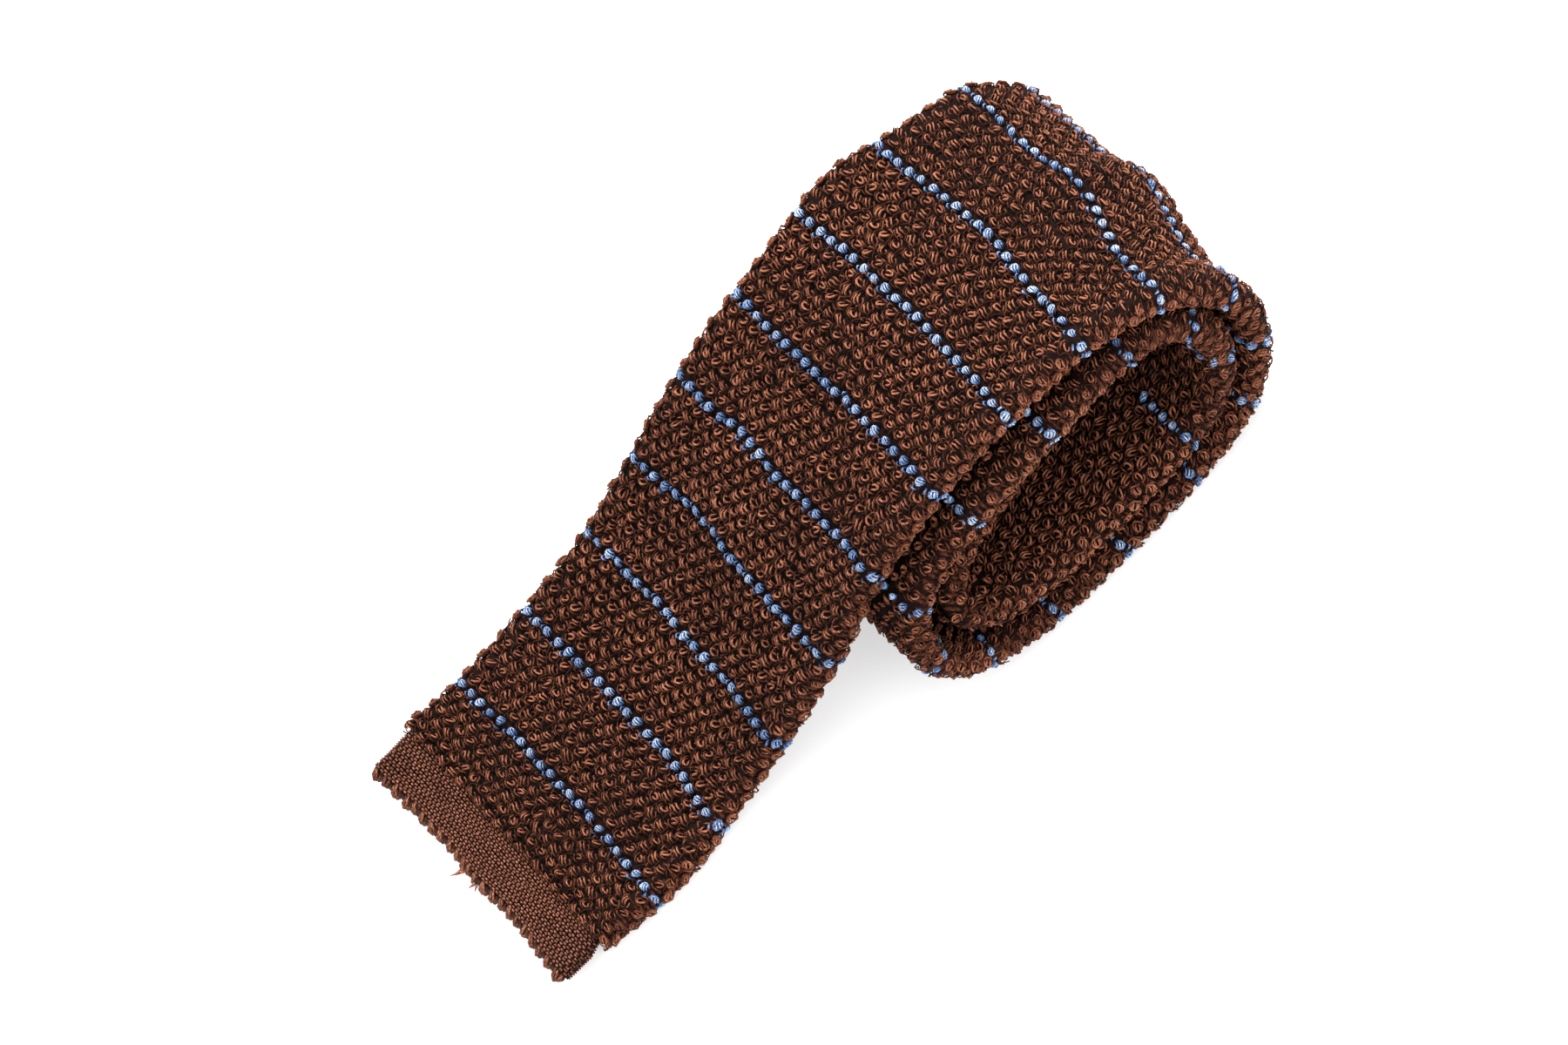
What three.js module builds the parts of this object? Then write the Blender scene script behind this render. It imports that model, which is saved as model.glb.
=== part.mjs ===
// A knitted tie, loosely rolled up, with the wide end of its blade left lying
// flat in front of the roll.  Millimetres, +Z up.  X runs along the blade (the
// free end at -X, the roll at +X), Y across it (the roll's open end faces -Y).
// Z = 0 is the surface that the tie lies on.
import * as THREE from 'three';

// ---------------------------------------------------------------- dimensions
const BLADE_THICKNESS = 5.3;    // both faces of the flat knitted tube together
const HEM_THICKNESS = 3.0;      // the finer knitting of the end band
const HEM_LENGTH = 7.2;         // along the blade
const HEM_INSET = 1.7;          // the band is this much narrower on each side
const HEM_RISE = 0.25;          // its middle lies this far above the blade's
const EDGE_DIAMETER = 2.1;      // the cast-off row along the very end
const JOIN_GAP = 0.3;           // between pieces that are knitted together
const CENTRE_X = 73.355;        // moves the fold line's own zero ...
const CENTRE_Y = -8.479;        // ... to the middle of the tie's footprint

const MAX_STEP = 6.5;           // longest stretch between two cross-sections
const MAX_TURN = 11;            // degrees of bend between two cross-sections
const EDGE_FACETS = 4;          // facets around each folded edge
const ACROSS = [-1, -0.72, -0.42, -0.14, 0.12, 0.42, 0.72, 1]; // face points

// ----------------------------------------------------------------- fold line
// One row for each place where the blade changes direction, from the free end
// into the roll.  x and z are the middle of the knitting's thickness, side is
// how far its middle line lies towards +Y, width is edge to edge, and lag is
// how far a cross row's near (-Y) end trails behind its far end.
const FOLD = [
  { at: 'hem_join',   x:   7.3, z:  3.15, side:   0.0, width: 59.0, lag:  2.1 },
  { at: 'tail_a',     x:  16.9, z:  2.95, side:   0.0, width: 60.4, lag:  2.4 },
  { at: 'tail_b',     x:  27.1, z:  3.12, side:   0.2, width: 60.2, lag:  2.1 },
  { at: 'lift_off',   x:  36.5, z:  4.40, side:  -0.5, width: 59.0, lag:  1.9 },
  { at: 'rise_a',     x:  48.7, z:  9.90, side:  -2.6, width: 58.0, lag:  1.6 },
  { at: 'rise_b',     x:  62.2, z: 18.50, side:  -5.4, width: 57.6, lag:  1.1 },
  { at: 'rise_c',     x:  76.5, z: 28.00, side:  -8.3, width: 57.4, lag:  0.7 },
  { at: 'rise_d',     x:  92.0, z: 34.70, side: -10.0, width: 57.8, lag:  0.4 },
  { at: 'crest_a',    x: 104.2, z: 37.00, side: -10.2, width: 59.6, lag:  0.0 },
  { at: 'crest_b',    x: 115.0, z: 37.50, side: -10.2, width: 60.8, lag:  0.0 },
  { at: 'crest_c',    x: 125.8, z: 36.20, side: -10.5, width: 60.2, lag:  0.0 },
  { at: 'shoulder',   x: 136.0, z: 33.40, side: -11.6, width: 60.0, lag: -0.6 },
  { at: 'turn_high',  x: 142.9, z: 28.30, side: -12.8, width: 60.0, lag: -1.0 },
  { at: 'turn_out',   x: 146.5, z: 19.80, side: -13.6, width: 60.0, lag: -0.6 },
  { at: 'turn_low',   x: 144.0, z: 11.60, side: -15.0, width: 60.0, lag:  0.0 },
  { at: 'turn_foot',  x: 136.1, z:  5.50, side: -16.3, width: 60.0, lag:  0.0 },
  { at: 'base_a',     x: 125.8, z:  3.20, side: -16.8, width: 60.0, lag:  0.0 },
  { at: 'base_b',     x: 112.3, z:  2.95, side: -17.3, width: 60.0, lag:  0.0 },
  { at: 'base_c',     x:  96.8, z:  2.95, side: -17.2, width: 60.0, lag:  0.0 },
  { at: 'base_d',     x:  85.3, z:  4.20, side: -16.7, width: 60.0, lag:  0.0 },
  { at: 'curl_foot',  x:  77.1, z:  8.00, side: -16.3, width: 60.0, lag:  0.0 },
  { at: 'curl_out',   x:  73.6, z: 14.20, side: -15.0, width: 60.0, lag:  0.0 },
  { at: 'curl_high',  x:  76.6, z: 20.70, side: -12.9, width: 60.0, lag:  0.0 },
  { at: 'second_a',   x:  85.3, z: 25.20, side: -12.0, width: 60.0, lag:  0.0 },
  { at: 'second_b',   x:  97.4, z: 28.00, side: -12.2, width: 60.0, lag:  0.0 },
  { at: 'second_c',   x: 112.3, z: 29.50, side: -12.6, width: 60.0, lag:  0.0 },
  { at: 'second_d',   x: 127.2, z: 29.40, side: -12.4, width: 60.0, lag:  0.0 },
  { at: 'inner_high', x: 135.7, z: 26.60, side: -12.7, width: 60.0, lag:  0.0 },
  { at: 'inner_out',  x: 139.4, z: 20.40, side: -14.6, width: 60.0, lag:  0.0 },
  { at: 'inner_low',  x: 136.4, z: 14.10, side: -16.2, width: 60.0, lag:  0.0 },
  { at: 'floor_a',    x: 128.6, z: 10.20, side: -16.8, width: 60.0, lag:  0.0 },
  { at: 'floor_b',    x: 116.4, z:  9.10, side: -17.0, width: 60.0, lag:  0.0 },
  { at: 'floor_c',    x: 102.8, z:  9.10, side: -17.0, width: 60.0, lag:  0.0 },
  { at: 'floor_d',    x:  92.0, z: 10.40, side: -16.9, width: 60.0, lag:  0.0 },
  { at: 'fold_low',   x:  84.6, z: 12.70, side: -16.2, width: 60.0, lag:  0.0 },
  { at: 'fold_out',   x:  81.5, z: 15.70, side: -13.8, width: 59.6, lag:  0.0 },
  { at: 'fold_high',  x:  86.4, z: 19.50, side: -11.4, width: 58.0, lag:  0.0 },
  { at: 'neck_a',     x:  93.4, z: 21.00, side: -11.2, width: 55.0, lag:  0.0 },
  { at: 'neck_b',     x: 107.0, z: 22.80, side: -11.8, width: 51.0, lag:  0.0 },
  { at: 'neck_end',   x: 120.0, z: 23.40, side: -12.0, width: 47.0, lag:  0.0 },
];

// The outer turn isn't an even roller: across its width it is pushed in and
// out by these amounts, most at turn_high and turn_out.
const TURN_SHAPE = [
  { across: -27, out:  0.0 },
  { across: -18, out: -2.1 },
  { across:  -8, out: -1.1 },
  { across:   2, out:  0.8 },
  { across:  11, out: -1.3 },
  { across:  27, out: -2.5 },
];
const TURN_FADE = [
  { at: 'crest_c',   share: 0.0 },
  { at: 'shoulder',  share: 0.5 },
  { at: 'turn_high', share: 1.0 },
  { at: 'turn_out',  share: 1.0 },
  { at: 'turn_low',  share: 0.4 },
  { at: 'turn_foot', share: 0.0 },
];

// ------------------------------------------------------- the line, as a curve
// A centripetal Catmull-Rom curve through the rows, walked in short steps, with
// each step's distance s from the first row.
const KEYS = ['x', 'z', 'side', 'width', 'lag'];
const mix = (a, b, t) => a + (b - a) * t;

function walkFoldLine(rows, stepsPerRow) {
  const line = [];
  const extra = (a, b) => Object.fromEntries(KEYS.map((k) => [k, 2 * a[k] - b[k]]));
  const all = [extra(rows[0], rows[1]), ...rows, extra(rows.at(-1), rows.at(-2))];
  const knot = (a, b) => Math.sqrt(Math.hypot(b.x - a.x, b.z - a.z));
  for (let i = 1; i < all.length - 2; i++) {
    const [p0, p1, p2, p3] = [all[i - 1], all[i], all[i + 1], all[i + 2]];
    const t1 = knot(p0, p1), t2 = t1 + knot(p1, p2), t3 = t2 + knot(p2, p3);
    for (let j = 0; j < stepsPerRow; j++) {
      const t = mix(t1, t2, j / stepsPerRow);
      const point = { row: rows[i - 1].at, s: 0 };
      for (const k of KEYS) {
        const a1 = mix(p0[k], p1[k], t / t1);
        const a2 = mix(p1[k], p2[k], (t - t1) / (t2 - t1));
        const a3 = mix(p2[k], p3[k], (t - t2) / (t3 - t2));
        const b1 = mix(a1, a2, t / t2);
        const b2 = mix(a2, a3, (t - t1) / (t3 - t1));
        point[k] = mix(b1, b2, (t - t1) / (t2 - t1));
      }
      line.push(point);
    }
  }
  line.push({ row: rows.at(-1).at, s: 0, ...Object.fromEntries(KEYS.map((k) => [k, rows.at(-1)[k]])) });
  for (let i = 1; i < line.length; i++) {
    line[i].s = line[i - 1].s + Math.hypot(line[i].x - line[i - 1].x, line[i].z - line[i - 1].z);
  }
  return line;
}
const LINE = walkFoldLine(FOLD, 24);
const BLADE_LENGTH = LINE.at(-1).s;
const sOf = (name) => LINE.find((p) => p.row === name).s;

// The line at distance s; before its start it goes straight on.
function lineAt(s) {
  if (s < 0) {
    return { ...LINE[0], x: LINE[0].x + s, dx: 1, dz: 0 };
  }
  let lo = 0, hi = LINE.length - 1;
  while (hi - lo > 1) {
    const mid = (lo + hi) >> 1;
    if (LINE[mid].s <= s) lo = mid; else hi = mid;
  }
  const a = LINE[lo], b = LINE[hi], t = Math.min(1, (s - a.s) / (b.s - a.s));
  const out = {};
  for (const k of KEYS) out[k] = mix(a[k], b[k], t);
  const w = 1.2, i0 = LINE[Math.max(0, lo - 2)], i1 = LINE[Math.min(LINE.length - 1, hi + 2)];
  const length = Math.hypot(i1.x - i0.x, i1.z - i0.z);
  out.dx = (i1.x - i0.x) / length;
  out.dz = (i1.z - i0.z) / length;
  return out;
}

function tableAt(rows, key, value, at) {
  if (at <= rows[0][key]) return rows[0][value];
  for (let i = 1; i < rows.length; i++) {
    if (at <= rows[i][key]) {
      const t = (at - rows[i - 1][key]) / (rows[i][key] - rows[i - 1][key]);
      return mix(rows[i - 1][value], rows[i][value], t * t * (3 - 2 * t));
    }
  }
  return rows.at(-1)[value];
}
const FADE = TURN_FADE.map((row) => ({ s: sOf(row.at), share: row.share }));

// A point of the knitting: s along it, across from its middle line, and up from
// the middle of its thickness.
function knitPoint(s, across, up, lift = 0) {
  const width = lineAt(s).width;
  const p = lineAt(s + lineAt(s).lag * across / width);
  const out = up + tableAt(TURN_SHAPE, 'across', 'out', across) * tableAt(FADE, 's', 'share', s);
  const z = Math.max(p.z, 2.95) - (2.95 - BLADE_THICKNESS / 2) + lift;
  return new THREE.Vector3(
    p.x - p.dz * out - CENTRE_X,
    p.side + across - CENTRE_Y,
    z + p.dx * out,
  );
}

// --------------------------------------------------------------- the lofting
// One closed cross-section: two flat faces joined by rounded edges.
function section(s, thickness, inset, lift) {
  const r = thickness / 2;
  const half = lineAt(s).width / 2 - inset - r;
  const ring = [];
  for (const a of ACROSS) ring.push(knitPoint(s, a * half, r, lift));
  for (let i = 1; i < EDGE_FACETS; i++) {
    const angle = Math.PI / 2 - (Math.PI * i) / EDGE_FACETS;
    ring.push(knitPoint(s, half + r * Math.cos(angle), r * Math.sin(angle), lift));
  }
  for (const a of [...ACROSS].reverse()) ring.push(knitPoint(s, a * half, -r, lift));
  for (let i = 1; i < EDGE_FACETS; i++) {
    const angle = -Math.PI / 2 - (Math.PI * i) / EDGE_FACETS;
    ring.push(knitPoint(s, -half + r * Math.cos(angle), r * Math.sin(angle), lift));
  }
  return ring;
}

// Skin between consecutive rings, with a flat cap at both ends.
function loft(rings) {
  const n = rings[0].length, positions = [], index = [];
  for (const ring of rings) for (const p of ring) positions.push(p.x, p.y, p.z);
  for (let k = 0; k + 1 < rings.length; k++) {
    for (let i = 0; i < n; i++) {
      const j = (i + 1) % n, a = k * n, b = a + n;
      index.push(a + i, a + j, b + j, a + i, b + j, b + i);
    }
  }
  const cap = (base, flip) => {
    for (let lo = 0, hi = n - 1; lo < hi;) {
      const tri = (a, b, c) => index.push(...(flip ? [base + a, base + c, base + b] : [base + a, base + b, base + c]));
      if (lo + 1 < hi) tri(lo, hi, lo + 1);
      if (lo + 1 < hi - 1) tri(lo + 1, hi, hi - 1);
      lo++; hi--;
    }
  };
  cap(0, false);
  cap((rings.length - 1) * n, true);
  const geometry = new THREE.BufferGeometry();
  geometry.setAttribute('position', new THREE.Float32BufferAttribute(positions, 3));
  geometry.setIndex(index);
  if (volume(geometry) < 0) {
    for (let i = 0; i < index.length; i += 3) [index[i + 1], index[i + 2]] = [index[i + 2], index[i + 1]];
    geometry.setIndex(index);
  }
  geometry.computeVertexNormals();
  return geometry;
}

function volume(geometry) {
  const p = geometry.getAttribute('position'), index = geometry.getIndex();
  const a = new THREE.Vector3(), b = new THREE.Vector3(), c = new THREE.Vector3();
  let sum = 0;
  for (let i = 0; i < index.count; i += 3) {
    a.fromBufferAttribute(p, index.getX(i));
    b.fromBufferAttribute(p, index.getX(i + 1));
    c.fromBufferAttribute(p, index.getX(i + 2));
    sum += a.dot(b.cross(c)) / 6;
  }
  return sum;
}

// Where the blade needs a cross-section: often in the bends, seldom between.
function stations(start, end) {
  const list = [start];
  let last = lineAt(start);
  for (let s = start; s < end; s += 0.25) {
    const here = lineAt(s);
    const turn = Math.acos(Math.min(1, last.dx * here.dx + last.dz * here.dz)) * 180 / Math.PI;
    if (turn >= MAX_TURN || s - list.at(-1) >= MAX_STEP) { list.push(s); last = here; }
  }
  if (end - list.at(-1) < 1) list.pop();
  list.push(end);
  return list;
}

// -------------------------------------------------------------------- pieces
const brown = (name, r, g, b, roughness) => {
  const m = new THREE.MeshStandardMaterial({ color: new THREE.Color(r, g, b), roughness, metalness: 0 });
  m.name = name;
  return m;
};

// The knitted blade: one flat tube of knitting from the hem into the roll.
const blade = new THREE.Mesh(
  loft(stations(0, BLADE_LENGTH).map((s) => section(s, BLADE_THICKNESS, 0, 0))),
  brown('coarse_knit', 0.165, 0.062, 0.038, 0.72),
);
blade.name = 'knitted_blade';

// The end band, knitted finer and thinner than the blade.
const hem = new THREE.Mesh(
  loft([-HEM_LENGTH, -HEM_LENGTH / 2, -JOIN_GAP].map((s) => section(s, HEM_THICKNESS, HEM_INSET, HEM_RISE))),
  brown('fine_knit', 0.205, 0.082, 0.052, 0.7),
);
hem.name = 'hem_band';

// The cast-off row: one round thick strand of loops along the very end.
function castOffEdge() {
  const r = EDGE_DIAMETER / 2, s = -HEM_LENGTH - JOIN_GAP - r;
  const half = lineAt(0).width / 2 - HEM_INSET - r;
  const rings = [];
  for (let i = 0; i <= 14; i++) {
    const across = mix(-half, half, i / 14);
    const middle = knitPoint(s, across, 0, HEM_RISE);
    const size = r * (i === 0 || i === 14 ? 0.7 : 1);
    const ring = [];
    for (let j = 0; j < 10; j++) {
      const angle = (2 * Math.PI * j) / 10;
      ring.push(new THREE.Vector3(middle.x + size * Math.cos(angle), middle.y, middle.z + size * Math.sin(angle)));
    }
    rings.push(ring);
  }
  return loft(rings);
}
const edge = new THREE.Mesh(castOffEdge(), brown('edge_yarn', 0.185, 0.072, 0.045, 0.7));
edge.name = 'cast_off_edge';

const tie = new THREE.Group();
tie.name = 'rolled_knit_tie';
tie.add(blade, hem, edge);

export default tie;
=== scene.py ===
import math

import bpy
import numpy as np
from mathutils import Matrix, Vector


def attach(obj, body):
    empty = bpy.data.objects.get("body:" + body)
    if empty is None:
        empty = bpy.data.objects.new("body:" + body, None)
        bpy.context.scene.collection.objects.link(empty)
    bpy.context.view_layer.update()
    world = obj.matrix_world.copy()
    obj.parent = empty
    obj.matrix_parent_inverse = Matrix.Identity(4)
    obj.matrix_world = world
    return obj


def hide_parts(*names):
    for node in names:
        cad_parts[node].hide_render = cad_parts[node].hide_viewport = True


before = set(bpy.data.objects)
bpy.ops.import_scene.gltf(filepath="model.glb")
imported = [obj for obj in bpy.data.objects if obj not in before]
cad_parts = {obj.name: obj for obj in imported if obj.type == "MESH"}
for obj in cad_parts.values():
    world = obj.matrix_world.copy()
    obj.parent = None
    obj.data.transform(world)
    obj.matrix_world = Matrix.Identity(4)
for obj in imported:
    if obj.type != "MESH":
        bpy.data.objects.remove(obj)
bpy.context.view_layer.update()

MM = 0.001
rng = np.random.default_rng(4910)

# =====================================================================
# Camera: level with the photograph's, 50 degrees above the surface, and
# turned 45 degrees about its own axis, so the tie runs up to the right.
# =====================================================================
ELEVATION = math.radians(50.0)
ROLL = math.radians(45.0)
TARGET = Vector((-0.00107, 0.00417, 0.0150))
FRAME_WIDTH = 0.2436
LENS, SENSOR = 1000.0, 36.0
back = Vector((0.0, -math.cos(ELEVATION), math.sin(ELEVATION)))
level_right = Vector((1.0, 0.0, 0.0))
level_up = back.cross(level_right)
cam_right = level_right * math.cos(ROLL) - level_up * math.sin(ROLL)
cam_up = level_right * math.sin(ROLL) + level_up * math.cos(ROLL)
distance = FRAME_WIDTH * LENS / SENSOR
camera = bpy.data.cameras.new("photo_camera")
camera.lens, camera.sensor_width = LENS, SENSOR
camera.sensor_fit = "HORIZONTAL"
camera.clip_start, camera.clip_end = 0.05, 20.0
eye = bpy.data.objects.new("photo_camera", camera)
spot = TARGET + back * distance
turn = Matrix((cam_right, cam_up, back)).transposed()
eye.matrix_world = Matrix.Translation(spot) @ turn.to_4x4()
bpy.context.scene.collection.objects.link(eye)
bpy.context.scene.camera = eye

# =====================================================================
# The fold line, as in the part's source (millimetres).
# =====================================================================
BLADE_THICKNESS = 5.3
HEM_THICKNESS = 3.0
HEM_LENGTH = 7.2
HEM_INSET = 1.7
HEM_RISE = 0.25
EDGE_DIAMETER = 2.1
JOIN_GAP = 0.3
CENTRE_X = 73.355
CENTRE_Y = -8.479

# place, x, z, side, width, lag
FOLD = [
    ("hem_join",     7.3,  3.15,   0.0, 59.0,  2.1),
    ("tail_a",      16.9,  2.95,   0.0, 60.4,  2.4),
    ("tail_b",      27.1,  3.12,   0.2, 60.2,  2.1),
    ("lift_off",    36.5,  4.40,  -0.5, 59.0,  1.9),
    ("rise_a",      48.7,  9.90,  -2.6, 58.0,  1.6),
    ("rise_b",      62.2, 18.50,  -5.4, 57.6,  1.1),
    ("rise_c",      76.5, 28.00,  -8.3, 57.4,  0.7),
    ("rise_d",      92.0, 34.70, -10.0, 57.8,  0.4),
    ("crest_a",    104.2, 37.00, -10.2, 59.6,  0.0),
    ("crest_b",    115.0, 37.50, -10.2, 60.8,  0.0),
    ("crest_c",    125.8, 36.20, -10.5, 60.2,  0.0),
    ("shoulder",   136.0, 33.40, -11.6, 60.0, -0.6),
    ("turn_high",  142.9, 28.30, -12.8, 60.0, -1.0),
    ("turn_out",   146.5, 19.80, -13.6, 60.0, -0.6),
    ("turn_low",   144.0, 11.60, -15.0, 60.0,  0.0),
    ("turn_foot",  136.1,  5.50, -16.3, 60.0,  0.0),
    ("base_a",     125.8,  3.20, -16.8, 60.0,  0.0),
    ("base_b",     112.3,  2.95, -17.3, 60.0,  0.0),
    ("base_c",      96.8,  2.95, -17.2, 60.0,  0.0),
    ("base_d",      85.3,  4.20, -16.7, 60.0,  0.0),
    ("curl_foot",   77.1,  8.00, -16.3, 60.0,  0.0),
    ("curl_out",    73.6, 14.20, -15.0, 60.0,  0.0),
    ("curl_high",   76.6, 20.70, -12.9, 60.0,  0.0),
    ("second_a",    85.3, 25.20, -12.0, 60.0,  0.0),
    ("second_b",    97.4, 28.00, -12.2, 60.0,  0.0),
    ("second_c",   112.3, 29.50, -12.6, 60.0,  0.0),
    ("second_d",   127.2, 29.40, -12.4, 60.0,  0.0),
    ("inner_high", 135.7, 26.60, -12.7, 60.0,  0.0),
    ("inner_out",  139.4, 20.40, -14.6, 60.0,  0.0),
    ("inner_low",  136.4, 14.10, -16.2, 60.0,  0.0),
    ("floor_a",    128.6, 10.20, -16.8, 60.0,  0.0),
    ("floor_b",    116.4,  9.10, -17.0, 60.0,  0.0),
    ("floor_c",    102.8,  9.10, -17.0, 60.0,  0.0),
    ("floor_d",     92.0, 10.40, -16.9, 60.0,  0.0),
    ("fold_low",    84.6, 12.70, -16.2, 60.0,  0.0),
    ("fold_out",    81.5, 15.70, -13.8, 59.6,  0.0),
    ("fold_high",   86.4, 19.50, -11.4, 58.0,  0.0),
    ("neck_a",      93.4, 21.00, -11.2, 55.0,  0.0),
    ("neck_b",     107.0, 22.80, -11.8, 51.0,  0.0),
    ("neck_end",   120.0, 23.40, -12.0, 47.0,  0.0),
]
TURN_SHAPE = [(-27, 0.0), (-18, -2.1), (-8, -1.1), (2, 0.8), (11, -1.3), (27, -2.5)]
TURN_FADE = [("crest_c", 0.0), ("shoulder", 0.5), ("turn_high", 1.0), ("turn_out", 1.0), ("turn_low", 0.4), ("turn_foot", 0.0)]


def walk_fold_line(rows, per_row=24):
    """A centripetal Catmull-Rom curve through the rows, and the distance along it."""
    p = np.array([r[1:] for r in rows], float)
    pts = np.vstack([2 * p[0] - p[1], p, 2 * p[-1] - p[-2]])
    out = []
    for i in range(1, len(pts) - 2):
        p0, p1, p2, p3 = pts[i - 1:i + 3]
        knot = lambda a, b: math.hypot(b[0] - a[0], b[1] - a[1]) ** 0.5
        t1 = knot(p0, p1)
        t2 = t1 + knot(p1, p2)
        t3 = t2 + knot(p2, p3)
        t = (t1 + (t2 - t1) * np.arange(per_row) / per_row)[:, None]
        a1 = p0 + (p1 - p0) * t / t1
        a2 = p1 + (p2 - p1) * (t - t1) / (t2 - t1)
        a3 = p2 + (p3 - p2) * (t - t2) / (t3 - t2)
        b1 = a1 + (a2 - a1) * t / t2
        b2 = a2 + (a3 - a2) * (t - t1) / (t3 - t1)
        out.append(b1 + (b2 - b1) * (t - t1) / (t2 - t1))
    out.append(p[-1:])
    line = np.vstack(out)
    s = np.r_[0, np.cumsum(np.hypot(np.diff(line[:, 0]), np.diff(line[:, 1])))]
    return line, s


LINE, LINE_S = walk_fold_line(FOLD)
BLADE_LENGTH = float(LINE_S[-1])
S_OF = {row[0]: float(LINE_S[24 * i]) for i, row in enumerate(FOLD)}


def line_at(s):
    s = np.asarray(s, float)
    x, z, side, width, lag = (np.interp(s, LINE_S, LINE[:, i]) for i in range(5))
    x = x + np.minimum(s, 0)
    lo = np.clip(np.searchsorted(LINE_S, s, side="right") - 1, 0, len(LINE_S) - 2)
    i0, i1 = np.maximum(0, lo - 2), np.minimum(len(LINE_S) - 1, lo + 3)
    dx, dz = LINE[i1, 0] - LINE[i0, 0], LINE[i1, 1] - LINE[i0, 1]
    length = np.hypot(dx, dz)
    return x, z, side, width, lag, np.where(s < 0, 1.0, dx / length), np.where(s < 0, 0.0, dz / length)


def table_at(xs, ys, x):
    xs, ys = np.asarray(xs, float), np.asarray(ys, float)
    x = np.clip(x, xs[0], xs[-1])
    i = np.clip(np.searchsorted(xs, x, side="right") - 1, 0, len(xs) - 2)
    t = (x - xs[i]) / (xs[i + 1] - xs[i])
    t = t * t * (3 - 2 * t)
    return ys[i] + (ys[i + 1] - ys[i]) * t


SHAPE_X, SHAPE_Y = zip(*TURN_SHAPE)
FADE_X, FADE_Y = [S_OF[n] for n, _ in TURN_FADE], [v for _, v in TURN_FADE]


# Small unevennesses of the outline, in mm: the near and the far edge outward
# by s, the end inward by how far across, and the outer turn outward.
NEAR_OUT = [(-8.5, 0.7), (-3.0, 0.9), (-0.8, -0.1), (1.6, -0.4), (5.1, 0.0), (12.6, 0.4), (20.2, 0.5), (24.0, -0.1), (27.8, -0.7), (31.6, -1.0),
            (35.5, -0.7), (43.5, -0.4), (52.5, 0.1), (57.0, 0.3), (64.0, 0.6), (69.0, -0.4), (75.0, -0.6), (82.0, -0.2), (88.0, 0.0)]
FAR_OUT = [(-8.5, 1.3), (-0.5, 1.4), (1.2, 1.1), (3.1, 0.4), (6.9, -0.3), (10.6, -0.7), (14.4, -0.8), (18.2, -0.6), (22.0, -0.4), (25.8, 0.25),
           (29.6, 0.5), (33.5, 0.6), (42.0, 0.3), (62.0, 0.3), (85.0, 0.45), (93.0, 0.0), (101.0, -0.5), (107.0, -0.4), (112.0, 0.0),
           (117.0, 0.0), (121.0, -0.4), (125.5, -1.3), (130.0, -1.2), (134.0, -0.4), (138.0, 0.6), (142.0, 1.2), (150.0, 1.1), (160.0, 0.4), (172.0, 0.0)]
END_IN = [(-30.0, 0.0), (-25.0, 0.1), (-17.5, 0.6), (-10.0, 0.9), (-5.8, 0.6), (-2.0, 0.35), (2.0, 0.55), (6.0, 1.0), (10.0, 0.75),
          (17.5, 0.65), (25.0, 0.1), (30.0, 0.0)]
TURN_OUT = [(-30.0, -0.3), (-22.0, -0.1), (-14.0, 0.2), (-10.0, 0.6), (-6.0, 0.95), (-2.0, 1.05), (2.0, 0.9), (6.0, 0.6), (10.0, 0.6),
            (14.0, 0.75), (18.0, 0.95), (22.0, 1.25), (30.0, 1.4)]


def from_table(table, x):
    return np.interp(x, [r[0] for r in table], [r[1] for r in table])


def uneven(s, across):
    """Shifts in x and y."""
    near, far = np.clip(-across / 28.0, 0, 1) ** 3, np.clip(across / 28.0, 0, 1) ** 3
    dy = far * from_table(FAR_OUT, s) - near * from_table(NEAR_OUT, s)
    dx = from_table(END_IN, across) * np.clip(-s / 7.5, 0, 1.1)
    dx = dx + from_table(TURN_OUT, across) * table_at([127.0, 142.0, 160.0, 178.0], [0.0, 1.0, 1.0, 0.0], s)
    return dx, dy


def knit_point(s, across, up, lift=0.0):
    """A point of the knitting, in mm: s along it, across from its middle line, up from the middle of its thickness."""
    s, across, up = np.broadcast_arrays(np.asarray(s, float), np.asarray(across, float), np.asarray(up, float))
    _, _, _, width, lag, _, _ = line_at(s)
    x, z, side, _, _, dx, dz = line_at(s + lag * across / width)
    out = up + table_at(SHAPE_X, SHAPE_Y, across) * table_at(FADE_X, FADE_Y, s)
    zz = np.maximum(z, 2.95) - (2.95 - BLADE_THICKNESS / 2) + lift
    more_x, more_y = uneven(s, across)
    return np.stack([x - dz * out - CENTRE_X + more_x, side + across - CENTRE_Y + more_y, zz + dx * out], -1)


# =====================================================================
# Cross-section outline.  q runs from the middle of the near edge over one
# face to the middle of the far edge; face is +1 on top of the lying blade
# and -1 under it; high is a height over the outline.
# =====================================================================
R = BLADE_THICKNESS / 2
ARC = math.pi / 2 * R


def outline(q, half, r, high=0.0):
    arc = math.pi / 2 * r
    near, far = q < arc, q > arc + 2 * half
    phi_n, phi_f = np.clip(q / r, -math.pi / 2, math.pi / 2), np.clip((q - arc - 2 * half) / r, 0, math.pi)
    across = np.where(near, -half - (r + high) * np.cos(phi_n), np.where(far, half + (r + high) * np.sin(phi_f), -half + (q - arc)))
    up = np.where(near, (r + high) * np.sin(phi_n), np.where(far, (r + high) * np.cos(phi_f), r + high))
    return across, up


def skin(s, q, face, high=0.0, thickness=BLADE_THICKNESS, inset=0.0, lift=0.0):
    r = thickness / 2
    half = line_at(s)[3] / 2 - inset - r
    across, up = outline(q, half, r, high)
    return knit_point(s, across, face * up, lift)


def half_round(s, thickness=BLADE_THICKNESS, inset=0.0):
    """Length of the outline from edge to edge over one face."""
    r = thickness / 2
    return 2 * (line_at(s)[3] / 2 - inset - r) + math.pi * r


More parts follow.
